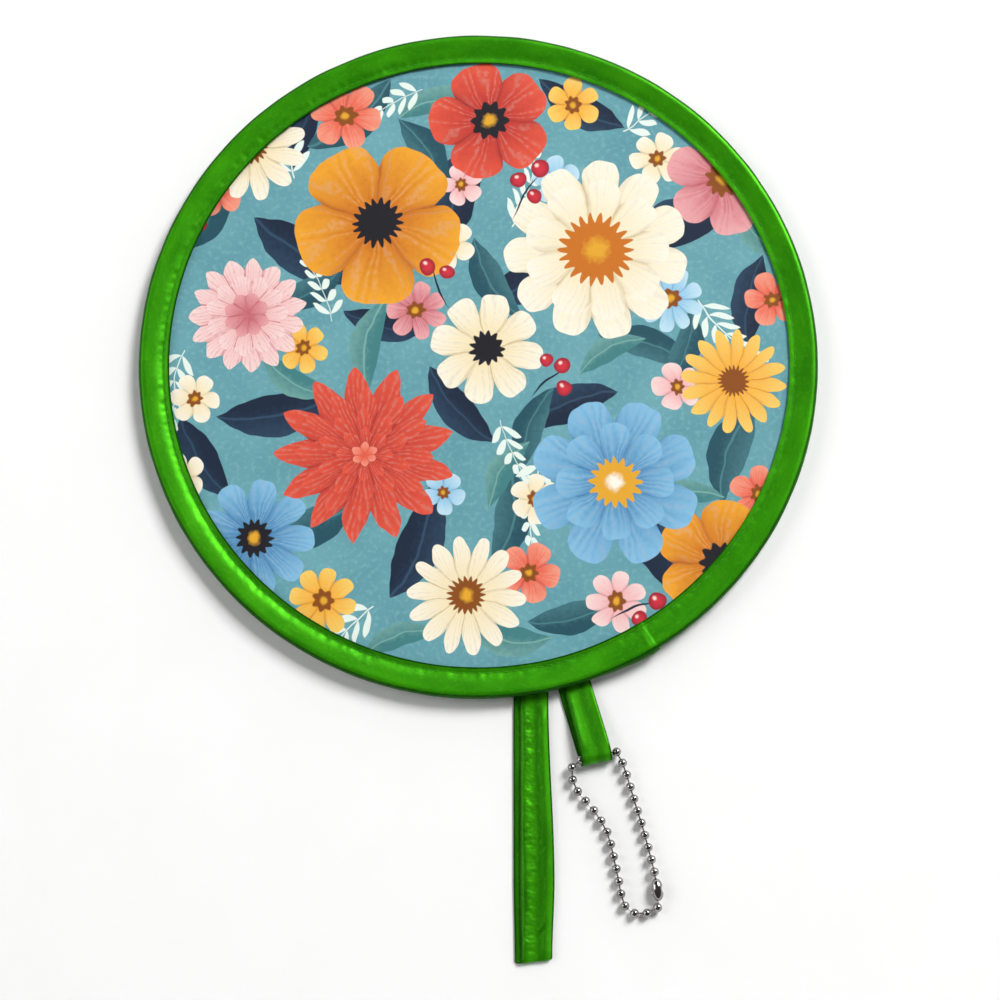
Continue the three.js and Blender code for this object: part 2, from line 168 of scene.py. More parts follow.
class Field:
    """A shader socket; arithmetic on it adds Math nodes."""

    def __init__(self, tree, socket):
        self.tree, self.socket = tree, socket

    def math(self, operation, *others, clamp=False):
        return self.tree.node("Math", [self, *others], operation=operation, use_clamp=clamp)

    def __add__(self, other):
        return self.math("ADD", other)

    __radd__ = __add__

    def __sub__(self, other):
        return self.math("SUBTRACT", other)

    def __rsub__(self, other):
        return self.tree.node("Math", [other, self], operation="SUBTRACT")

    def __mul__(self, other):
        return self.math("MULTIPLY", other)

    __rmul__ = __mul__

    def __truediv__(self, other):
        return self.math("DIVIDE", other)

    def __pow__(self, other):
        return self.math("POWER", other)

    def __abs__(self):
        return self.math("ABSOLUTE")

    def clamped(self, gain=1.0):
        return self.math("MULTIPLY", gain, clamp=True)


class Tree:
    """A node tree that adds nodes by their type, settings and socket values."""

    def __init__(self, tree):
        self.nodes, self.links = tree.nodes, tree.links

    def plug(self, socket, value):
        if isinstance(value, Field):
            self.links.new(value.socket, socket)
        else:
            socket.default_value = value

    def node(self, kind, inputs=(), output=0, **settings):
        made = self.nodes.new("ShaderNode" + kind)
        for name, value in settings.items():
            setattr(made, name, value)
        named = inputs.items() if isinstance(inputs, dict) else enumerate(inputs)
        for key, value in named:
            self.plug(made.inputs[key], value)
        return Field(self, made.outputs[output])

    def mix(self, factor, a, b):
        return self.node("Mix", {0: factor, 6: a, 7: b}, output=2, data_type="RGBA")

    def vector(self, operation, *inputs, output=0):
        return self.node("VectorMath", inputs, output=output, operation=operation)

    def join(self, *parts):
        return self.node("CombineXYZ", parts)

    def split(self, vector):
        parts = self.node("SeparateXYZ", [vector]).socket.node.outputs
        return [Field(self, part) for part in parts]

    def noise(self, vector, scale, detail=2.0, output=0):
        inputs = {"Vector": vector, "Scale": scale, "Detail": detail}
        return self.node("TexNoise", inputs, output=output)


class Finish(Tree):
    """A procedural material round one Principled shader."""

    def __init__(self, name, **constants):
        self.material = bpy.data.materials.new(name)
        self.material.use_nodes = True
        super().__init__(self.material.node_tree)
        self.shader = self.nodes["Principled BSDF"]
        for key, value in constants.items():
            self.set(key.replace("_", " ").title().replace("Ior", "IOR"), value)

    def set(self, socket, value):
        self.plug(self.shader.inputs[socket], value)

    def bump(self, height, strength, distance):
        inputs = {"Height": height, "Strength": strength, "Distance": distance}
        self.set("Normal", self.node("Bump", inputs))


class Motif(Tree):
    """A node group that paints one kind of motif, in its own frame, over the colour under it.

    It works on plain numbers only, so that a long row of motifs fits in the renderer's stack.
    """

    shared = ["X", "Y", "Strokes", "At X", "At Y", "Cosine", "Sine", "Size"]

    def __init__(self, name, draw, numbers=(), paints=()):
        self.group = bpy.data.node_groups.new(name, "ShaderNodeTree")
        super().__init__(self.group)
        sockets = {key: "Float" for key in (*self.shared, *numbers)}
        sockets |= {key: "Color" for key in ("Under", *paints)}
        for key, kind in sockets.items():
            self.group.interface.new_socket(key, in_out="INPUT", socket_type="NodeSocket" + kind)
        self.group.interface.new_socket("Painted", in_out="OUTPUT", socket_type="NodeSocketColor")
        entry = self.nodes.new("NodeGroupInput")
        given = {key: Field(self, entry.outputs[key]) for key in sockets}
        across, up = given["X"] - given["At X"], given["Y"] - given["At Y"]
        u = across * given["Cosine"] + up * given["Sine"]
        v = up * given["Cosine"] - across * given["Sine"]
        own = [given[key] for key in (*numbers, *paints)]
        paint, mask = draw(self, u, v, given["Strokes"], given["Size"], *own)
        painted = self.mix(mask, given["Under"], paint)
        self.plug(self.nodes.new("NodeGroupOutput").inputs[0], painted)


def colour(text):
    """A linear RGBA colour from its hex text."""
    shades = [int(text[i : i + 2], 16) / 255 for i in (0, 2, 4)]
    linear = [s / 12.92 if s <= 0.04045 else ((s + 0.055) / 1.055) ** 2.4 for s in shades]
    return (*linear, 1.0)


def colours(text):
    return [colour(part) for part in text.split()]


def smooth(value, low, high):
    """0 below low, 1 above high, and a smooth step between."""
    t = min(1.0, max(0.0, (value - low) / (high - low)))
    return t * t * (3 - 2 * t)


def ridge(value, middle, width):
    """A bell that is 1 at its middle."""
    return math.exp(-(((value - middle) / width) ** 2))


def between(a, b, share):
    return a + (b - a) * share


def ray(angle):
    """The direction at an angle round the hub."""
    return Vector((math.cos(angle), math.sin(angle), 0))


def polar(co):
    """The angle round the hub, and how far in from the fan's edge."""
    dx, dy = co.x - hub.x, co.y - hub.y
    return math.atan2(dy, dx), fan_radius - math.hypot(dx, dy)


def disc_uv(co):
    return 0.5 + (co.x - hub.x) / (2 * fan_radius), 0.5 + (co.y - hub.y) / (2 * fan_radius)


def ring_uv(co):
    angle, inward = polar(co)
    return angle / math.tau + 0.5, (inward - ROUNDED_EDGE) / (BINDING_WIDTH - ROUNDED_EDGE)


def lay_uv(bm, place):
    """Gives each face corner place(co), without a jump where the angle wraps."""
    layer = bm.loops.layers.uv.verify()
    for face in bm.faces:
        found = [place(loop.vert.co) for loop in face.loops]
        wraps = max(u for u, v in found) - min(u for u, v in found) > 0.5
        for loop, (u, v) in zip(face.loops, found):
            loop[layer].uv = (u + 1 if wraps and u < 0.5 else u, v)


def piece(name, bm, finish):
    """The bmesh as a smooth-shaded object with its crisp edges kept."""
    bmesh.ops.recalc_face_normals(bm, faces=bm.faces)
    for face in bm.faces:
        face.smooth = True
    for edge in bm.edges:
        if len(edge.link_faces) == 2 and edge.calc_face_angle() > CRISP_ANGLE:
            edge.smooth = False
    mesh = bpy.data.meshes.new(name)
    bm.to_mesh(mesh)
    bm.free()
    made = bpy.data.objects.new(name, mesh)
    bpy.context.scene.collection.objects.link(made)
    mesh.materials.append(finish.material)
    return made


def thicken(bm, thickness):
    bmesh.ops.solidify(bm, geom=bm.faces[:], thickness=thickness)


def lengths_along(line):
    """How far along a line each of its points is."""
    found = [0.0]
    for a, b in zip(line, line[1:]):
        found.append(found[-1] + (Vector(b) - Vector(a)).length)
    return found


def curve_points(*segments, steps):
    """Points along joined Bezier segments, each given as its four (x, y) points."""
    line = []
    for segment in segments:
        ends = [Vector((x, y, 0)) for x, y in segment]
        points = interpolate_bezier(*ends, steps)
        line += points if not line else points[1:]
    return [(p.x, p.y) for p in line]


def spun(profile, steps, start=0.0, sweep=math.tau):
    """A (radius, height) profile turned about the fan's axis, one sector first and then its copies."""
    bm = bmesh.new()
    about = {"cent": Vector((hub.x, hub.y, 0)), "axis": (0, 0, 1)}
    verts = [bm.verts.new(about["cent"] + ray(start) * r + Vector((0, 0, z))) for r, z in profile]
    edges = [bm.edges.new(pair) for pair in zip(verts, verts[1:])]
    turn = sweep / SECTORS
    bmesh.ops.spin(bm, geom=verts + edges, angle=turn, steps=steps // SECTORS, **about)
    sector = bm.verts[:] + bm.edges[:] + bm.faces[:]
    bmesh.ops.spin(bm, geom=sector, angle=sweep - turn, steps=SECTORS - 1, use_duplicate=True, **about)
    bmesh.ops.remove_doubles(bm, verts=bm.verts, dist=MERGE_DISTANCE)
    bmesh.ops.recalc_face_normals(bm, faces=bm.faces)
    return bm


def lathed(profile, steps):
    """A (radius, height) profile turned once about its own axis."""
    bm = bmesh.new()
    verts = [bm.verts.new((r, 0, z)) for r, z in profile]
    edges = [bm.edges.new(pair) for pair in zip(verts, verts[1:])]
    about = {"cent": (0, 0, 0), "axis": (0, 0, 1)}
    bmesh.ops.spin(bm, geom=verts + edges, angle=math.tau, steps=steps, use_merge=True, **about)
    bmesh.ops.remove_doubles(bm, verts=bm.verts, dist=MERGE_DISTANCE)
    bmesh.ops.recalc_face_normals(bm, faces=bm.faces)
    return bm


# The disc's zones: from y, to y, the fold line between, and the bodies before and after it
seam_near_y = (fold_near_y + hub.y) / 2
seam_far_y = (hub.y + fold_far_y) / 2
ZONES = {
    "near": (None, seam_near_y, fold_near_y, "near_panel", "fold_band_1"),
    "middle": (seam_near_y, seam_far_y, hub.y, "fold_band_1", "fold_band_2"),
    "far": (seam_far_y, None, fold_far_y, "fold_band_2", "far_panel"),
}


def zone_of(y):
    return "near" if y < seam_near_y else "middle" if y < seam_far_y else "far"


def cut_to(bm, zone):
    """A copy of a piece of the disc, cut to the stretch round one fold line."""
    low, high = ZONES[zone][:2]
    part = bm.copy()
    for y, side in ((low, -1), (high, 1)):
        if y is not None:
            geom = part.verts[:] + part.edges[:] + part.faces[:]
            bmesh.ops.bisect_plane(
                part, geom=geom, plane_co=(0, y, 0), plane_no=(0, side, 0), clear_outer=True
            )
    return part


def in_zones(name, bm, close, finish):
    """The disc's piece in each zone; close(part) gives a cut part its thickness or its ends."""
    made = {}
    for zone in ZONES:
        part = cut_to(bm, zone)
        close(part)
        made[zone] = piece(f"{name}_{zone}_fold", part, finish)
    bm.free()
    return made


def bend_at(made, zone):
    """Bakes the piece's transform into its mesh."""
    y, body, next_body = ZONES[zone][2:]
    y - FOLD_REACH
    y + FOLD_REACH
    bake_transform(made)


# Finishes


def satin_finish(name, deep, painted_sheen_bands):
    """Green satin tape: long floats of thread along it, a little crumpled; painted highlights on its floats
    and crumples, painted shade at its turned edges.

    Its deep tone lies in random patches or, with bands, mostly in that many soft bands of painted sheen and
    painted shade along the tape.
    """
    satin = Finish(name, metallic=0.42, specular_tint=colour("b4f078"), specular_ior_level=0.45)
    along, across, _ = satin.split(satin.node("TexCoord", output=2))
    floats_and_sheen = satin.noise(satin.join(along * 900, across * 60, 0.0), 1.0, 3.0)
    blotches = satin.noise(satin.join(along * 40, across * 1.5, 0.0), 1.0, 2.0)
    crumple = satin.noise(satin.join(along * 420, across * 9, 0.0), 1.0, 3.0)
    # Random patches of deeper tone; with bands, also painted sheen and painted shade in soft stripes along
    # the tape
    tone_and_painted_sheen = (blotches - 0.5) * 2
    if painted_sheen_bands:
        first_band = 0.21
        tone_and_painted_sheen = ((across - first_band) * painted_sheen_bands * math.tau + tone_and_painted_sheen * 2).math("SINE") * 0.3 + tone_and_painted_sheen * 0.4
    body = satin.mix(tone_and_painted_sheen + 0.5, deep, colour("3ba008"))
    # Painted highlights: lighter green where the floats and crumples rise, on top of their real bumps
    body = satin.mix((floats_and_sheen - 0.5) * 1.2, body, colour("58bd20"))
    body = satin.mix((crumple - 0.55) * 1.5, body, colour("5ec226"))
    # Painted shade: dark green along both turned edges of the tape, made ragged by the crumple noise
    edges = abs(across - 0.5) * 32 - 14.7 + crumple * 1.8
    satin.set("Base Color", satin.mix(edges * 0.85, body, colour("0f4d04")))
    satin.set("Roughness", floats_and_sheen * 0.2 + 0.32)
    satin.bump(floats_and_sheen * 0.5 + crumple, 0.4, 0.1 * mm)
    return satin


def thread_finish():
    """Sewing thread, twisted, a little paler than the tape, with painted light and shade along its twist.
    """
    thread = Finish("sewing_thread", roughness=0.6, specular_ior_level=0.3)
    along, across, _ = thread.split(thread.node("TexCoord", output=2))
    twist_and_shade = (along * 4200 + across * 90).math("SINE")
    # Painted light and shade: lighter on the twist's ridges, darker in its grooves
    thread.set("Base Color", thread.mix(twist_and_shade * 0.4 + 0.5, colour("1f750a"), colour("4aa822")))
    thread.bump(twist_and_shade, 0.4, 0.05 * mm)
    return thread


def nickel_finish():
    """Plated steel, with faint tarnish."""
    nickel = Finish("nickel_plate", metallic=1.0)
    tarnish = nickel.noise(nickel.node("TexCoord", output=3), 420.0, 4.0)
    nickel.set("Base Color", nickel.mix(tarnish, colour("6a6866"), colour("bdbbb9")))
    nickel.set("Roughness", tarnish * 0.1 + 0.03)
    return nickel


def steel_finish():
    """Blued spring steel, brushed."""
    steel = Finish("hoop_steel", metallic=1.0)
    grain = steel.noise(steel.node("TexCoord", output=3), 900.0, 3.0)
    steel.set("Base Color", steel.mix(grain, colour("6d737b"), colour("a9aeb5")))
    steel.set("Roughness", grain * 0.2 + 0.25)
    return steel


# Motifs of the print: each gives its paint and its mask at a place in its own frame, where its size is 1


def from_middle(u, v):
    return (u * u + v * v).math("SQRT")


def draw_leaf(tree, u, v, strokes, size, width, curl, paint, rib):
    """A pointed leaf along u, with its midrib."""
    bend = u * u
    side = bend * curl + v
    off = abs(side)
    mask = ((1 - bend) * width - off) * size * 4.5
    vein = (0.03 - off) * size * 2
    shade = tree.mix(side * 1.4 + strokes * 0.6 - 0.1, paint, rib)
    return tree.mix(vein, shade, rib), mask


def draw_sprig(tree, u, v, strokes, size, pairs, curl, paint):
    """A stalk along u with pairs of small leaflets that get shorter to its tip."""
    off = abs(v - u * u * curl)
    reach = off / (0.3 - u * 0.22)
    base = u - off * 0.9
    cell = abs((base * pairs).math("FRACT") - 0.5)
    leaflets = ((reach - reach * reach) * 1.5 - cell) * (size / pairs * 3)
    stalk = (0.012 - off) * size * 3.3
    inside = (base - base * base).math("GREATER_THAN", 0.0)
    return paint, leaflets.math("MAXIMUM", stalk) * inside


def draw_berry(tree, u, v, strokes, size, paint, shade):
    """A round berry with a light spot."""
    r = from_middle(u, v)
    body = tree.mix(r * r, paint, shade)
    spot = from_middle(u + 0.3, v - 0.35)
    return tree.mix((0.3 - spot) * 5, body, colour("ffd9cf")), (1 - r) * size * 4.5


def draw_blossom(tree, u, v, strokes, size, petals, notch, tip, fleck, inner, outer, shade):
    """A ring of petals: tip sets how blunt they are, and notch how deep the gaps between them go."""
    r = from_middle(u, v)
    around = v.math("ARCTAN2", u)
    saw = (around * petals / math.tau).math("FRACT")
    gap = abs(saw * 2 - 1)
    mask = (1 - gap**tip * notch - r) * size * 4.2
    streak = (around * petals * 5.3 + (around * 9.7 + r * 3 + size).math("SINE") * 2.5).math("SINE")
    brush = streak * 0.5 + strokes * 1.6 - 0.8
    paint = tree.mix(r * 1.15 + brush * 0.3 - 0.15, inner, outer)
    fold = gap**7 * 0.8 + brush * fleck + saw * 0.2 - 0.1
    lit = tree.mix((brush - 0.25) * fleck * 0.8, paint, colour("fff6e4"))
    return tree.mix(fold, lit, shade), mask


def draw_heart(tree, u, v, strokes, size, spokes, paint, dark):
    """A flower's middle: a disc with a ring of stamens round it."""
    r = from_middle(u, v)
    wave = (v.math("ARCTAN2", u) * spokes).math("COSINE")
    stamens = (wave * 0.22 + 1.55 - r) * size * 2
    disc = (1 - r) * size * 4
    core = tree.mix(r * 2.5 + strokes * 1.4 - 1.5, paint, dark)
    return tree.mix(disc, dark, core), stamens.math("MAXIMUM", disc)


BLOSSOM_NUMBERS = ["Petals", "Notch", "Tip", "Fleck"]
MOTIFS = {
    "leaf": Motif("leaf", draw_leaf, ["Width", "Curl"], ["Paint", "Rib"]),
    "sprig": Motif("sprig", draw_sprig, ["Pairs", "Curl"], ["Paint"]),
    "berry": Motif("berry", draw_berry, [], ["Paint", "Shade"]),
    "blossom": Motif("blossom", draw_blossom, BLOSSOM_NUMBERS, ["Inner", "Outer", "Shade"]),
    "heart": Motif("heart", draw_heart, ["Spokes"], ["Paint", "Dark"]),
}


class Print:
    """A painted pattern on the cloth, laid down motif by motif. Places and sizes are in millimetres."""

    def __init__(self, finish):
        self.finish = finish
        uv = finish.node("TexCoord", output=2)
        size = 2 * fan_radius / mm
        corner = (-size / 2, -size / 2, 0)
        flat = finish.node("Mapping", {"Vector": uv, "Location": corner, "Scale": (size, size, 0)})
        drift = finish.vector("SUBTRACT", finish.noise(flat, 0.11, 1.0, output=1), (0.5, 0.5, 0.5))
        self.x, self.y, _ = finish.split(finish.vector("MULTIPLY_ADD", drift, (2.6, 2.6, 0), flat))
        self.strokes = finish.noise(flat, 0.55, 3.0)
        ground = finish.mix(finish.noise(flat, 0.045, 2.0), colour("4f8c9a"), colour("74adb4"))
        self.colour = finish.mix((self.strokes - 0.5) * 2, ground, colour("86bcc0"))

    def add(self, motif, x, y, size, turn=0, **values):
        angle = math.radians(turn)
        inputs = {"X": self.x, "Y": self.y, "Strokes": self.strokes, "Under": self.colour}
        inputs |= {"At X": x, "At Y": y}
        inputs |= {"Cosine": math.cos(angle) / size, "Sine": math.sin(angle) / size, "Size": size}
        inputs |= {key.title(): value for key, value in values.items()}
        self.colour = self.finish.node("Group", inputs, node_tree=MOTIFS[motif].group)

    def leaf(self, x, y, turn, length, width, paint, rib, curl=0.15):
        self.add("leaf", x, y, length / 2, turn, width=width / length, curl=curl, paint=paint, rib=rib)

    def blossom(self, x, y, size, petals, turn, notch, tip, paints, fleck=0.5):
        inner, outer, shade = paints
        self.add(
            "blossom", x, y, size, turn, petals=petals, notch=notch, tip=tip, fleck=fleck,
            inner=inner, outer=outer, shade=shade,
        )

    def heart(self, x, y, size, spokes, paint, dark):
        self.add("heart", x, y, size, spokes=spokes, paint=paint, dark=dark)


# Paints: each petal's from its root, to its tip, and in its folds
CORAL = colours("b8322c e4573f a32a28")
CORAL_PALE = colours("e4573f f39a80 c9463a")
CREAM = colours("f3dfae f8f2e2 cdb98d")
GOLD = colours("c9701c f0a62a b8611a")
YELLOW = colours("f0a62a f7cf66 cf7f22")
SKY = colours("427fae 86bfe0 3d78a8")
SKY_PALE = colours("86bfe0 c3e2ee 5f9cc4")
PINK = colours("c4626d eba9ab b9545f")
PINK_PALE = colours("eba9ab f7dcd7 cf7f87")
NAVY, NAVY_RIB = colours("12233b 2d4a63")
PINE, PINE_RIB = colours("1f4f5c 4b8088")
SAGE, SAGE_RIB = colours("3f7d80 7fb1a8")
FROST = colour("e4f1e8")
BERRY, BERRY_DEEP = colours("d0303f 8f1a2c")
SEED, SEED_DEEP = colours("e2a52b 8a4a12")
INK = colour("17161f")


def paint_leaves(pattern):
    """Dark leaves at the back, paler ones over them, then the sprigs."""
    for x, y, turn, length, width in (
        (-62, 38, 150, 46, 17), (-8, 62, 75, 44, 16), (70, 50, 20, 44, 17), (20, 30, 215, 42, 15),
        (-70, -20, 190, 44, 16), (-20, -66, 250, 44, 16), (66, -70, 310, 46, 17), (30, -16, 20, 40, 14),
        (-8, -18, 130, 36, 13), (96, 22, 80, 34, 13), (-98, -36, 120, 34, 13), (36, 92, 150, 36, 13),
        (-34, 12, 165, 30, 11), (-64, 84, 70, 30, 11), (76, -104, 200, 30, 11),
    ):
        pattern.leaf(x, y, turn, length, width, NAVY, NAVY_RIB)
    for x, y, turn, length, width in (
        (-44, 88, 40, 40, 14), (88, -32, 250, 40, 14), (-58, -60, 20, 42, 14), (12, -58, 80, 38, 13),
        (4, 28, 300, 34, 12), (60, 6, 160, 36, 12), (-96, 52, 60, 34, 12), (34, -92, 15, 34, 12),
        (-18, 76, 120, 34, 12), (18, -24, 250, 32, 11), (-60, 24, 30, 30, 11), (74, 4, 70, 30, 11),
    ):
        pattern.leaf(x, y, turn, length, width, PINE, PINE_RIB, curl=-0.2)
    for x, y, turn, length, width in (
        (-14, 96, 10, 32, 11), (98, 46, 130, 30, 10), (-40, 6, 80, 34, 11), (10, -100, 170, 32, 11),
        (-88, -70, 60, 30, 10), (70, -48, 10, 32, 10), (-66, -8, 150, 30, 10), (8, -40, 60, 28, 10),
        (46, 4, 30, 28, 9), (-28, -98, 20, 28, 9),
    ):
        pattern.leaf(x, y, turn, length, width, SAGE, SAGE_RIB, curl=0.25)
    for x, y, turn, length, pairs in (
        (-66, 66, 100, 34, 7), (12, 48, 60, 30, 6), (78, 22, -60, 32, 7), (-36, -88, 215, 30, 6),
        (22, -36, -110, 30, 6), (-104, 4, 250, 28, 6), (52, 84, 30, 28, 6), (-52, 14, 100, 24, 5),
        (8, -22, -80, 24, 5), (-20, 100, 200, 24, 5),
    ):
        pattern.add("sprig", x, y, length, turn, pairs=pairs, curl=0.25, paint=FROST)


def paint_small_flowers(pattern):
    for x, y, size, petals, turn, paints in (
        (-10, 42, 9, 5, 10, CREAM), (64, 74, 10, 6, 40, CREAM), (-94, 62, 10, 5, 0, CORAL_PALE),
        (18, -76, 11, 5, 30, CORAL_PALE), (-62, 4, 9, 6, 15, YELLOW), (98, -48, 10, 5, 50, CORAL_PALE),
        (-12, -48, 8, 5, 20, SKY_PALE), (70, -10, 9, 5, 0, PINK_PALE), (-100, -14, 9, 6, 25, CREAM),
        (28, 66, 9, 5, 60, SKY_PALE), (-22, 18, 11, 7, 0, PINK), (68, 22, 12, 9, 0, SKY_PALE),
        (-54, -86, 12, 8, 10, YELLOW), (34, 94, 10, 6, 0, YELLOW), (-48, 90, 13, 6, 20, CORAL_PALE),
        (20, -50, 9, 6, 0, CREAM), (104, 22, 10, 5, 0, CORAL_PALE), (-104, -42, 9, 5, 0, CREAM),
        (-6, 64, 8, 5, 0, PINK_PALE), (48, -86, 11, 7, 0, PINK_PALE),
    ):
        pattern.blossom(x, y, size, petals, turn, notch=0.42, tip=3.0, paints=paints, fleck=0.3)
        pattern.heart(x, y, size * 0.2, spokes=7, paint=SEED, dark=SEED_DEEP)


def paint_medium_flowers(pattern):
    for x, y, size, petals, turn, notch, tip, paints, core, dark in (
        (3, 4, 20, 8, 12, 0.4, 4.0, CREAM, INK, INK),
        (90, -8, 19, 16, 5, 0.34, 2.0, YELLOW, SEED_DEEP, SEED_DEEP),
        (4, 88, 22, 5, 0, 0.3, 4.0, CORAL, SEED, INK),
        (-4, -84, 21, 14, 8, 0.36, 2.2, CREAM, SEED, SEED_DEEP),
        (-78, -64, 21, 9, 20, 0.38, 3.0, SKY, SEED, INK),
        (84, -72, 22, 5, 40, 0.3, 4.0, GOLD, INK, INK),
        (-82, 78, 20, 12, 0, 0.4, 2.4, CREAM, SEED, SEED_DEEP),
        (88, 66, 21, 6, 10, 0.32, 3.0, PINK, SEED, SEED_DEEP),
    ):
        pattern.blossom(x, y, size, petals, turn, notch, tip, paints)
        pattern.heart(x, y, size * 0.19, petals + 5, core, dark)
    for size, petals, turn, paints in ((21, 15, 0, PINK_PALE), (15, 11, 20, PINK_PALE), (8.5, 8, 5, PINK)):
        pattern.blossom(-82, 16, size, petals, turn, notch=0.2, tip=1.5, paints=paints, fleck=0.8)


def paint_large_flowers(pattern):
    for size, petals, turn in ((32, 13, 0), (24.5, 12, 13), (17, 10, 2), (10, 8, 20)):
        pattern.blossom(-40, -34, size, petals, turn, notch=0.36, tip=1.3, paints=CORAL, fleck=0.6)
    pattern.blossom(-40, -34, 4.6, 6, 0, notch=0.3, tip=1.5, paints=CORAL_PALE)
    for size, petals, turn in ((33, 11, 4), (26, 9, 22)):
        pattern.blossom(42, 40, size, petals, turn, notch=0.28, tip=3.4, paints=CREAM, fleck=0.35)
    pattern.heart(42, 40, 7.8, 22, SEED, colour("c9701c"))
    pattern.blossom(-36, 50, 30, 5, 18, notch=0.3, tip=4.5, paints=GOLD, fleck=0.45)
    pattern.heart(-36, 50, 5.4, 18, INK, INK)
    for size, petals, turn in ((30, 8, 0), (21, 8, 23)):
        pattern.blossom(48, -44, size, petals, turn, notch=0.34, tip=3.2, paints=SKY)
    pattern.heart(48, -44, 5.5, 16, colour("f8f2e2"), SEED)


def paint_berries(pattern):
    for x, y, turn, length in (
        (16, 60, 60, 22), (-14, 26, 110, 18), (-104, 40, 70, 20), (54, -88, 20, 20), (24, -8, 40, 18),
    ):
        pattern.leaf(x, y, turn, length, width=1.0, paint=NAVY, rib=NAVY)
    for x, y, size in (
        (22, 70, 3.3), (14, 66, 3.0), (20, 60, 2.8), (-18, 34, 3.2), (-11, 32, 2.7), (-100, 50, 3.1),
        (-106, 44, 2.8), (62, -86, 3.2), (56, -92, 2.8), (30, -2, 3.1), (24, 0, 2.7), (30, -10, 2.8),
    ):
        pattern.add("berry", x, y, size, paint=BERRY, shade=BERRY_DEEP)


def cloth_finish():
    """Printed cloth: a generic scatter of garden flowers on a fine plain weave."""
    cloth = Finish("flower_cloth", roughness=0.6, specular_ior_level=0.25)
    pattern = Print(cloth)
    paint_leaves(pattern)
    paint_small_flowers(pattern)
    paint_medium_flowers(pattern)
    paint_large_flowers(pattern)
    paint_berries(pattern)
    u, v, _ = cloth.split(cloth.node("TexCoord", output=2))
    weave = (u * 3000).math("SINE") * (v * 3000).math("SINE")
    cloth.set("Base Color", pattern.colour)
    cloth.bump(weave, 0.12, 0.06 * mm)
    return cloth


satin = satin_finish("satin_tape", colour("237d04"), 0)
strap_satin = satin_finish("satin_strap", colour("1a6803"), 1.75)
thread = thread_finish()
nickel = nickel_finish()
steel = steel_finish()
printed_cloth = cloth_finish()


# Disc


def binding_profile():
    """Radius and height down the outside of the folded tape, from its upper inner edge to its lower one."""
    inner, crest, outer = fan_radius - BINDING_WIDTH, fan_radius - CREST_INSET, fan_radius
    edge, crown = EDGE_HALF_HEIGHT, rim_top - rim_middle
    slope = (
        (inner, edge),
        (inner + 2.9 * mm, edge + 0.5 * mm),
        (outer - 5.1 * mm, crown - 0.4 * mm),
        (crest, crown),
    )
    turn = (crest, crown), (outer - 0.9 * mm, crown), (outer, crown - 0.6 * mm), (outer, 0)
    top = curve_points(slope, turn, steps=PROFILE_STEPS)
    under = [(r, -z) for r, z in reversed(top[:-1])]
    return [(r, rim_middle + z) for r, z in top + under]


def drawn_in(angle):
    """How far the stitches pull the tape in, in mm: most on the lower left, where its edge flares most."""
    least, most, lower_left = 0.16, 0.5, math.radians(215)
    return least + (most - least) * (0.5 + 0.5 * math.cos(angle - lower_left))


def tape_relief(co):
    """How far the tape stands out: in waves, drawn in at the stitches and flared past them."""
    angle, inward = polar(co)
    inward /= mm
    line = (BINDING_WIDTH - STITCH_INSET) / mm
    seed = 5 if co.z > rim_middle else -5
    around = ray(angle)
    waves = 0.16 * noise.noise(around * 11 + Vector((0, 0, inward * 0.08 + seed)))
    drags = 0.1 * noise.noise(around * 30 + Vector((inward * 0.1, 0, inward * 0.2 + seed)))
    puckers = 0.24 * noise.noise(around * 56 + Vector((0, 0, inward * 0.12 + seed)))
    gathers = waves + drags * smooth(inward, 5.0, 9.2) + puckers * ridge(inward, line - 0.9, 1.1)
    valley = ridge(inward, line, 1.7 if inward < line else 0.75)
    flare = 0.85 * smooth(inward, line + 0.2, line + 1.8)
    return (gathers + (flare - valley) * drawn_in(angle)) * mm


def narrowed(angle, inward):
    """How far out the tape's inner side is drawn: the binding is a little narrower on its upper right."""
    upper_right = math.radians(25)
    return NARROWING * smooth(math.cos(angle - upper_right), 0.2, 1.0) * smooth(inward / mm, 3, 9)


def displace(bm, move):
    """Moves each vertex by move(vert), with every move worked out before the first is made."""
    moves = [(vert, move(vert)) for vert in bm.verts]
    for vert, step in moves:
        vert.co += step


def make_binding():
    def gathered(vert):
        angle, inward = polar(vert.co)
        return vert.normal * tape_relief(vert.co) + ray(angle) * narrowed(angle, inward)

    bm = spun(binding_profile(), BINDING_STEPS)
    displace(bm, gathered)
    lay_uv(bm, ring_uv)
    return in_zones("binding", bm, lambda part: thicken(part, TAPE_PLY), satin)


def lap_rise(angle):
    """How far the lapped end stands off the tape under it; its end is turned under, in a double fold."""
    share = (angle - LAP_FROM) / (LAP_TO - LAP_FROM)
    if not 0 <= share <= 1:
        return 0.0
    fold = 0.14 * ridge(share, 0.89, 0.035) - 0.2 * smooth(share, 0.94, 1.0)
    tucked = 0.1 * (1 - share)
    return LAP_HEIGHT * smooth(share, 0, 0.85) + (fold - tucked) * mm


def make_lap():
    """The tape's end, folded under and laid over its start."""
    bm = spun(binding_profile(), LAP_STEPS, LAP_FROM, LAP_TO - LAP_FROM)
    displace(bm, lambda vert: vert.normal * tape_relief(vert.co))
    bm.normal_update()
    displace(bm, lambda vert: vert.normal * lap_rise(polar(vert.co)[0]))
    lay_uv(bm, ring_uv)
    thicken(bm, TAPE_PLY)
    return piece("binding_lap", bm, satin)


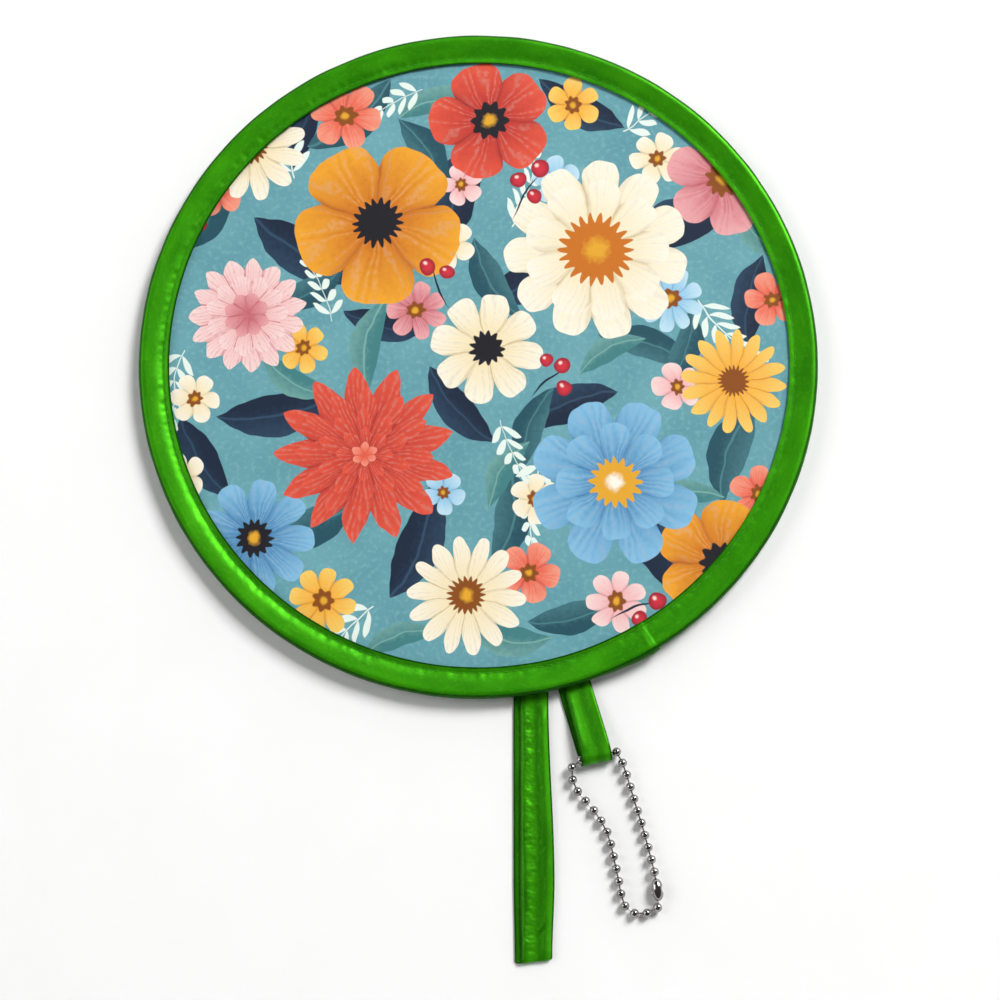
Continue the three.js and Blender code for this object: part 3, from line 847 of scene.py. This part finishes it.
def one_stitch(bm, angle, side):
    """A short rounded length of thread that dips into the tape at both ends; side is 1 above, -1 below."""
    radius = stitch_radius + narrowed(angle, BINDING_WIDTH)
    height = STITCH_HEIGHT - drawn_in(angle) * mm + lap_rise(math.remainder(angle, math.tau))
    sides = {"u_segments": THREAD_SIDES, "v_segments": THREAD_SIDES}
    made = bmesh.ops.create_uvsphere(bm, radius=THREAD_RADIUS, **sides)
    for vert in made["verts"]:
        along = vert.co.z / THREAD_RADIUS
        up = vert.co.y + height - STITCH_DIP * along**4
        vert.co = Vector((vert.co.x, along * STITCH_LENGTH / 2, side * up))
    turn = Matrix.Rotation(angle, 4, "Z")
    place = Matrix.Translation((hub.x, hub.y, rim_middle)) @ turn @ Matrix.Translation((radius, 0, 0))
    bmesh.ops.transform(bm, matrix=place, verts=made["verts"])


def make_stitches():
    parts = {zone: bmesh.new() for zone in ZONES}
    count = round(math.tau * stitch_radius / STITCH_PITCH)
    for i in range(count):
        angle = math.tau * i / count
        part = parts[zone_of(hub.y + stitch_radius * math.sin(angle))]
        for side in (1, -1):
            one_stitch(part, angle, side)
    for part in parts.values():
        lay_uv(part, ring_uv)
    return {zone: piece(f"stitches_{zone}_fold", part, thread) for zone, part in parts.items()}


def cloth_relief(co):
    """The taut cloth's slight waves, stronger where the binding draws it in."""
    angle, inward = polar(co)
    pulls = 0.16 * noise.noise(ray(angle) * 16) * (1 - smooth(inward / mm, 10, 42))
    slack = 0.14 * noise.noise(Vector((co.x, co.y, 0)) * 26) * smooth(inward / mm, 9, 30)
    return (pulls + slack) * mm


def make_cloth():
    def close(part):
        thicken(part, CLOTH_PLY)
        lay_uv(part, disc_uv)

    height = rim_middle + CLOTH_PLY / 2
    profile = [(cloth_radius * i / CLOTH_RINGS, height) for i in range(CLOTH_RINGS + 1)]
    bm = spun(profile, CLOTH_STEPS)
    for vert in bm.verts:
        vert.co.z += cloth_relief(vert.co)
    return in_zones("cloth", bm, close, printed_cloth)


def fill_ends(bm):
    """Closes a strip where it was cut."""
    bmesh.ops.holes_fill(bm, edges=[edge for edge in bm.edges if edge.is_boundary])


def make_hoop():
    """The spring strip, whose ends meet in the ferrule."""
    low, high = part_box("hoop_ferrule")
    ferrule_angle = polar((low + high) / 2)[0]
    radius = strip_high.y - hub.y - HOOP_THICKNESS / 2
    inner, outer = radius - HOOP_THICKNESS / 2, radius + HOOP_THICKNESS / 2
    bottom, top = strip_low.z, strip_high.z
    section = [(inner, bottom), (outer, bottom), (outer, top), (inner, top), (inner, bottom)]
    gap = HOOP_END_GAP / radius
    bm = spun(section, HOOP_STEPS, ferrule_angle + gap / 2, math.tau - gap)
    fill_ends(bm)
    return in_zones("hoop", bm, fill_ends, steel)


binding = make_binding()
cloth = make_cloth()
hoop = make_hoop()
stitches = make_stitches()
lap = make_lap()

disc_nodes = {"near": ["near"], "middle": ["band_1", "band_2"], "far": ["far"]}
for zone, ends in disc_nodes.items():
    for end in ends:
        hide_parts(f"cloth_{end}")
        if zone == "middle":
            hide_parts(f"binding_{end}_left", f"binding_{end}_right")
            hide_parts(f"hoop_{end}_left", f"hoop_{end}_right")
        else:
            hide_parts(f"binding_{end}")
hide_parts("hoop_near_left", "hoop_near_right")
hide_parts("hoop_far")
disc_slots = (
    (binding, "green_satin"),
    (cloth, "printed_cloth"),
    (hoop, "spring_steel"),
    (stitches, "green_satin"),
)
for zone in ZONES:
    for made, slot in disc_slots:
        bend_at(made[zone], zone)
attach(lap, "near_panel")


# Straps


def path_normals(path):
    """The outside of the loop at each point of a path, in (outward, up)."""
    found = []
    for i in range(len(path)):
        a, b = path[max(i - 1, 0)], path[min(i + 1, len(path) - 1)]
        way = (Vector(b) - Vector(a)).normalized()
        found.append(Vector((way.y, -way.x)))
    return found


def make_tape(node, root, outward, path, shape):
    """A folded tape whose outer face runs along a path of (outward, up) points from its root.

    shape(u, i) gives (across, outward, lift) offsets for u from -1 to 1 at path point i.
    """
    bm = bmesh.new()
    layer = bm.loops.layers.uv.verify()
    rows = len(path) - 1
    bmesh.ops.create_grid(bm, x_segments=TAPE_ROWS_ACROSS, y_segments=rows, size=1)
    ups, lengths = path_normals(path), lengths_along(path)
    for face in bm.faces:
        for loop in face.loops:
            i = round((loop.vert.co.y + 1) / 2 * rows)
            loop[layer].uv = lengths[i] / (math.tau * fan_radius), (loop.vert.co.x + 1) / 2
    across = Vector((-outward.y, outward.x, 0))
    for vert in bm.verts:
        i = round((vert.co.y + 1) / 2 * rows)
        aside, extra, lift = shape(vert.co.x, i)
        along, up = Vector(path[i]) + Vector((extra, 0)) + ups[i] * lift
        vert.co = root + across * aside + outward * along + Vector((0, 0, up))
    bm.normal_update()
    thicken(bm, STRAP_PLY)
    made = piece(f"{node}_loop", bm, strap_satin)
    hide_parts(node, f"{node}_tail")
    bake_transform(made)
    return made


def stretch(a, b, steps):
    """Evenly spaced points from a up to, not including, b."""
    return [tuple(Vector(a).lerp(Vector(b), i / steps)) for i in range(steps)]


def arc(centre, radius, start, end, steps):
    points = []
    for i in range(steps + 1):
        angle = between(start, end, i / steps)
        points.append((centre[0] + radius * math.cos(angle), centre[1] + radius * math.sin(angle)))
    return points


def folded_path(turn, radius, turn_to, root_height, steps):
    """A tape's path out, round a fold and back, with the places in it where the fold starts and ends."""
    out, fold, back, tail = steps
    under = turn[1] - radius
    path = stretch((-TAIL_LENGTH, under), (turn[0], under), out)
    bottom_rows = len(path)
    path += arc(turn, radius, -math.pi / 2, turn_to, fold)
    top_rows = len(path)
    path += stretch(path[-1], (0, root_height), back)[1:]
    path += stretch((0, root_height), (-TAIL_LENGTH, TAIL_TOP), tail) + [(-TAIL_LENGTH, TAIL_TOP)]
    return path, bottom_rows, top_rows


def strap_edges(out, top):
    """The strap's left and right edges: its lower ply's where top is 0, its upper ply's where it is 1."""
    bowed = smooth(out, 0, STRAP_BOW_AT) - 0.45 * smooth(out, STRAP_BOW_AT, STRAP_LENGTH)
    drawn = 0.4 * mm * smooth(out, 60 * mm, STRAP_LENGTH)
    return between(*STRAP_LEFT_EDGES, top) + drawn, between(*STRAP_RIGHT_EDGES, top) + STRAP_BOW * bowed


def strap_lift(u, s):
    """How high the upper ply is raised, in mm, at u across it and s mm from the rim."""
    wander = 0.05 * math.sin(s / 8) + 0.03 * math.sin(s / 2.7)
    past_seam = u + 0.74 - wander
    seam = 0.6 * ridge(past_seam, 0, 0.13 if past_seam < 0 else 0.46)
    coarse = 0.3 * noise.noise(Vector((u * 2 + s * 0.1, s * 0.33, 3)))
    fine = 0.15 * noise.noise(Vector((u * 5 - s * 0.3, s * 0.9, 6)))
    finest = 0.08 * noise.noise(Vector((u * 9 + s * 0.5, s * 1.7, 9)))
    crumple = (coarse + fine + finest) * ridge(past_seam, 0.36, 0.36)
    swell = 0.5 * noise.noise(Vector((u * 0.7, s * 0.05, 8))) * (1 - u * u)
    crown = 0.9 * ridge(u, 0.58, 0.36) * (1 - 0.5 * ridge(s, 71, 9))
    edge = -0.45 * smooth(abs(u), 0.84, 1.0)
    crease = -0.4 * smooth(s - 81 + 6 * u, -0.5, 0.5) * smooth(u, -0.3, 0.35)
    return seam + crumple + swell + crown + edge + crease


def make_strap():
    root = Vector(joint["handle_strap_swing"]["pos_m"])
    root.z = 0
    outward = Vector((0, -1, 0))
    turn = STRAP_LENGTH - STRAP_FOLD, STRAP_CLEARANCE + STRAP_FOLD
    path, bottom_rows, top_rows = folded_path(turn, STRAP_FOLD, math.pi / 2, STRAP_ROOT, STRAP_STEPS)

    def shape(u, i):
        out = max(0.0, path[i][0])
        s = out / mm
        top = smooth(i, bottom_rows, top_rows)
        left, right = strap_edges(out, top)
        share = (u + 1) / 2
        slant = -STRAP_SLANT * share * smooth(out, 0.55 * STRAP_LENGTH, STRAP_LENGTH)
        free = smooth(s, 0.5, 8) * top * (1 - 0.7 * smooth(s, 86, 90))
        return between(left, right, share), slant, strap_lift(u, s) * free * mm

    return make_tape("handle_strap", root, outward, path, shape)


def tab_frame():
    """The chain tab's outward direction, and across it."""
    across = -Vector(joint["chain_tab_swing"]["axis"])
    return Vector((across.y, -across.x, 0)), across


def tab_lift(u, s):
    """How high the upper ply is raised, in mm, at u across it and s mm from the rim."""
    sides = 0.2 * ridge(u, -0.8, 0.22) + 0.2 * ridge(u, 0.85, 0.2) - 0.3 * smooth(abs(u), 0.9, 1.0)
    swell = 0.4 * noise.noise(Vector((u * 0.9, s * 0.1, 5)))
    return sides + swell


def make_tab():
    root = Vector(joint["chain_tab_swing"]["pos_m"])
    chain = Vector(joint["chain_swing"]["pos_m"])
    root.z = 0
    outward, _ = tab_frame()
    turn = (chain - root).dot(outward), chain.z
    path, bottom_rows, top_rows = folded_path(turn, TAB_BULB, TAB_TURN_TO, TAB_ROOT, TAB_STEPS)
    half = TAB_WIDTH / 2

    def shape(u, i):
        out = max(0.0, path[i][0])
        s = out / mm
        top = smooth(i, bottom_rows, top_rows + 6)
        left = -half + TAB_LEFT_STEP * top * (1 - 0.5 * out / TAB_LENGTH)
        right = half - TAB_RIGHT_STEP * (1 - top)
        droop = (0.2 * u * u + 0.4 * u - 0.1) * mm * smooth(s, 12, 25)
        free = smooth(s, 0.5, 5) * (1 - smooth(s, 19, 24)) * top
        return between(left, right, (u + 1) / 2), droop, tab_lift(u, s) * free * mm

    return make_tape("chain_tab", root, outward, path, shape)


strap = make_strap()
tab = make_tab()


# Bead chain

# The loop as it lies, in mm: (across the tab, out from the chain's axis, up from that axis)
LYING, IN_CLASP = -0.95, -0.40
BESIDE_TAB = 7.4
LOOP_END = 55.5
CHAIN_ROUTE = [
    (7.3, 49.4, IN_CLASP), (8.1, 42.6, IN_CLASP), (8.4, 36, LYING), (8.6, 28, LYING), (8.5, 20, LYING),
    (8.5, 13, LYING), (8.4, 7.4, LYING / 2), (BESIDE_TAB + 0.5, 2.6, 0), (BESIDE_TAB - 1, 0.1, 0),
    (0, 0, 0), (1 - BESIDE_TAB, 0, 0), (-BESIDE_TAB - 1.5, 1.6, 0), (-9.9, 6, LYING / 2),
    (-9, 11, LYING), (-6.6, 15.8, LYING), (-4.7, 21, LYING), (-3.5, 27, LYING), (-3.8, 34, LYING),
    (-4.4, 42, LYING), (-5.1, 49.5, LYING), (-3.9, LOOP_END - 1.7, LYING),
    (-0.2, LOOP_END + 0.1, LYING), (4, LOOP_END + 0.5, LYING), (6.2, LOOP_END - 1.2, IN_CLASP),
]


def chain_line():
    """Close points along the closed loop, from the clasp's middle round to it again."""
    origin = Vector(joint["chain_swing"]["pos_m"])
    outward, across = tab_frame()
    knots = [origin + (across * a + outward * o + Vector((0, 0, z))) * mm for a, o, z in CHAIN_ROUTE]
    count = len(knots)
    line = [knots[0]]
    for i in range(count):
        before, start, end, after = (knots[(i + k) % count] for k in (-1, 0, 1, 2))
        leave, arrive = start + (end - before) / 6, end - (after - start) / 6
        line += interpolate_bezier(start, leave, arrive, end, ROUTE_STEPS + 1)[1:]
    return line


def bead_centres():
    """Places at one spacing along the loop, from the clasp round to the clasp."""
    line = chain_line()
    lengths = lengths_along(line)
    step = (lengths[-1] - END_BEAD_SPACING) / (BEAD_COUNT - 1)
    centres = []
    k = 0
    for i in range(BEAD_COUNT):
        target = END_BEAD_SPACING / 2 + i * step
        while lengths[k + 1] < target:
            k += 1
        share = (target - lengths[k]) / (lengths[k + 1] - lengths[k])
        centres.append(line[k].lerp(line[k + 1], share))
    return centres


def aimed(centre, way):
    """A matrix that puts +Z along way, at centre."""
    return Matrix.Translation(centre) @ way.to_track_quat("Z", "Y").to_matrix().to_4x4()


def add_part(bm, other):
    """Adds a closed part to a bmesh, with its faces pointing out."""
    bmesh.ops.recalc_face_normals(other, faces=other.faces)
    mesh = bpy.data.meshes.new("part")
    other.to_mesh(mesh)
    other.free()
    bm.from_mesh(mesh)
    bpy.data.meshes.remove(mesh)


def add_bead(bm, centre, way):
    """A hollow ball, slightly squashed along the chain, with a hole at each end."""
    shell = bmesh.new()
    bmesh.ops.create_uvsphere(shell, u_segments=BEAD_SIDES, v_segments=BEAD_RINGS, radius=BEAD_RADIUS)
    poles = [vert for vert in shell.verts if abs(vert.co.z) > BEAD_RADIUS * 0.999]
    bmesh.ops.delete(shell, geom=poles, context="VERTS")
    for vert in shell.verts:
        vert.co.z *= BEAD_SQUASH
    thicken(shell, BEAD_WALL)
    bmesh.ops.transform(shell, matrix=aimed(centre, way), verts=shell.verts)
    add_part(bm, shell)


def add_link(bm, start, end):
    """A pin with a rounded head inside each of two beads."""
    length = (end - start).length
    profile = [
        (0, LINK_HEAD_AT - 0.3 * mm),
        (LINK_HEAD_RADIUS * 0.8, LINK_HEAD_AT - 0.2 * mm),
        (LINK_HEAD_RADIUS, LINK_HEAD_AT),
        (LINK_RADIUS, LINK_HEAD_AT + 0.18 * mm),
        (LINK_RADIUS, length / 2),
    ]
    other_end = [(r, length - z) for r, z in reversed(profile[:-1])]
    pin = lathed(profile + other_end, LINK_SIDES)
    bmesh.ops.transform(pin, matrix=aimed(start, end - start), verts=pin.verts)
    add_part(bm, pin)


def make_beads(centres):
    for i, centre in enumerate(centres):
        node = f"chain_bead_{i + 1:02d}"
        body = frame["nodes"][node]["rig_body"]
        last, following = centres[i - 1], centres[(i + 1) % len(centres)]
        bm = bmesh.new()
        add_bead(bm, centre, following - last)
        if i + 1 < len(centres):
            add_link(bm, centre, following)
        made = piece(f"bead_{i + 1:02d}", bm, nickel)
        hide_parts(node)
        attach(made, body)


def clasp_shell():
    """A sprung shell along Z, cut by a slit, a round window and, on its other side, a peephole."""
    half = END_BEAD_SPACING / 2
    rim = math.acos(CLASP_MOUTH / CLASP_RADIUS)
    profile = []
    for i in range(CLASP_RINGS + 1):
        angle = between(-rim, rim, i / CLASP_RINGS)
        profile.append((CLASP_RADIUS * math.cos(angle), (CLASP_RADIUS + half) * math.sin(angle)))
    bm = lathed(profile, CLASP_SIDES)
    for y in (-CLASP_SLIT / 2, CLASP_SLIT / 2):
        geom = bm.verts[:] + bm.edges[:] + bm.faces[:]
        bmesh.ops.bisect_plane(bm, geom=geom, plane_co=(0, y, 0), plane_no=(0, 1, 0))
    cut = []
    for face in bm.faces:
        x, y, z = face.calc_center_median()
        slit = x > 0 and abs(y) < CLASP_SLIT / 2
        window = x > 0 and math.hypot(y, z) < CLASP_WINDOW
        peephole = x < 0 and math.hypot(y / 1.1, z / 1.4) < CLASP_PEEPHOLE
        if slit or window or peephole:
            cut.append(face)
    bmesh.ops.delete(bm, geom=cut, context="FACES")
    rough = [vert for vert in bm.verts if vert.is_boundary and abs(vert.co.z) < CLASP_CUTS_END]
    bmesh.ops.smooth_vert(bm, verts=rough, factor=0.5, use_axis_x=True, use_axis_y=True, use_axis_z=True)
    thicken(bm, CLASP_WALL)
    return bm


def make_clasp(centres):
    """The clasp round the two end beads, with its slit to one side."""
    along = (centres[0] - centres[-1]).normalized()
    side = along.cross(Vector((0, 0, 1))).normalized()
    upright = along.cross(side)
    turn = Matrix((side, upright, along)).transposed().to_4x4()
    place = Matrix.Translation((centres[0] + centres[-1]) / 2) @ turn
    bm = clasp_shell()
    bmesh.ops.transform(bm, matrix=place, verts=bm.verts)
    made = piece("clasp_shell", bm, nickel)
    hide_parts("chain_clasp")
    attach(made, "chain_clasp")


centres = bead_centres()
make_beads(centres)
make_clasp(centres)

ferrule = frame["nodes"]["hoop_ferrule"]
ferrule.data.materials.clear()
ferrule.data.materials.append(steel.material)


# What each sheet was cut from


def segment_area(radius, chord_at):
    """Area of a disc beyond a chord at that distance from its middle."""
    return radius**2 * math.acos(chord_at / radius) - chord_at * math.sqrt(radius**2 - chord_at**2)


seam = hub.y - seam_near_y
cap_flat = (2 * cloth_radius, cloth_radius - seam)
cap_area = segment_area(cloth_radius, seam)
band_flat = (2 * cloth_radius, 2 * seam)

tape_width = lengths_along(binding_profile())[-1]
middle_radius = fan_radius - BINDING_WIDTH / 2
middle_angle = 2 * math.asin(seam / middle_radius)


# Floor, light and camera, in metres

FLOOR_RADIUS = 2.2
FLOOR_RING = 0.5
FLOOR_SIDES = 64
WALL_RADIUS = 3.0
WALL_HEIGHT = 1.4
GLOW_FROM = 0.02  # height where the walls start to glow
GLOW_GAIN = 3.0  # how fast the glow grows with height
GLOSSY_SHARE = 0.3  # of the glow that glossy faces see
KEY_PLACE, KEY_SIZE, KEY_POWER = (1.93, 2.15, 2.5), 1.5, 158
FILL_PLACE, FILL_SIZE, FILL_POWER = (-2.6, 0.5, 2.1), 1.6, 26
SKY_STRENGTH = 0.1
CAMERA_DISTANCE = 0.8
CAMERA_ELEVATION = math.radians(80.5)
CAMERA_LENS, CAMERA_SENSOR = 82.3, 36
CAMERA_AIM = Vector((7.65 * mm, hub.y - 50.4 * mm, 4.0 * mm))


def paper_finish():
    """White paper that glows on the walls, as the eye and glossy faces see it, and lights nothing else."""
    paper = Finish("white_paper", roughness=0.9)
    where = paper.node("TexCoord", output=3)
    mottle = paper.noise(where, 30.0, 2.0)
    paper.set("Base Color", paper.mix(mottle, colour("f7f7f6"), colour("fbfbfb")))
    rays = paper.node("LightPath")
    seen = rays + Field(paper, rays.socket.node.outputs["Is Glossy Ray"]) * GLOSSY_SHARE
    height = paper.split(where)[2]
    show = seen.clamped() * (height - GLOW_FROM).clamped(GLOW_GAIN)
    glow = paper.node("Emission", {"Strength": 1.0})
    blend = paper.node("MixShader", {0: show, 1: Field(paper, paper.shader.outputs[0]), 2: glow})
    paper.links.new(blend.socket, paper.nodes["Material Output"].inputs["Surface"])
    return paper


def make_floor():
    """A round floor that sweeps up into a low wall."""
    profile = [(0, 0), (FLOOR_RING, 0), (FLOOR_RADIUS, 0)]
    sweep = (FLOOR_RADIUS, 0), (2.7, 0), (WALL_RADIUS, 0.4), (WALL_RADIUS, WALL_HEIGHT)
    profile += curve_points(sweep, steps=12)[1:]
    piece("floor", lathed(profile, FLOOR_SIDES), paper_finish())


def stand(name, data, place, way):
    """Puts a lamp or a camera at its place, facing that way."""
    made = bpy.data.objects.new(name, data)
    made.location = place
    made.rotation_mode = "QUATERNION"
    made.rotation_quaternion = way.to_track_quat("-Z", "Y")
    bpy.context.scene.collection.objects.link(made)
    return made


def make_lamp(name, place, size, power):
    """A square lamp that faces the origin."""
    data = bpy.data.lights.new(name, "AREA")
    data.shape, data.size, data.energy = "SQUARE", size, power
    stand(name, data, place, -Vector(place))


def make_world():
    world = bpy.data.worlds.new("studio")
    world.use_nodes = True
    sky = world.node_tree.nodes["Background"]
    sky.inputs["Color"].default_value = (1, 1, 1, 1)
    sky.inputs["Strength"].default_value = SKY_STRENGTH
    bpy.context.scene.world = world


def make_camera():
    data = bpy.data.cameras.new("camera")
    data.lens, data.sensor_width = CAMERA_LENS, CAMERA_SENSOR
    back = Vector((0, -math.cos(CAMERA_ELEVATION), math.sin(CAMERA_ELEVATION)))
    place = CAMERA_AIM + back * CAMERA_DISTANCE
    bpy.context.scene.camera = stand("camera", data, place, -back)


make_floor()
make_world()
make_lamp("key", KEY_PLACE, KEY_SIZE, KEY_POWER)
make_lamp("fill", FILL_PLACE, FILL_SIZE, FILL_POWER)
make_camera()
bpy.context.scene.view_settings.view_transform = "Standard"
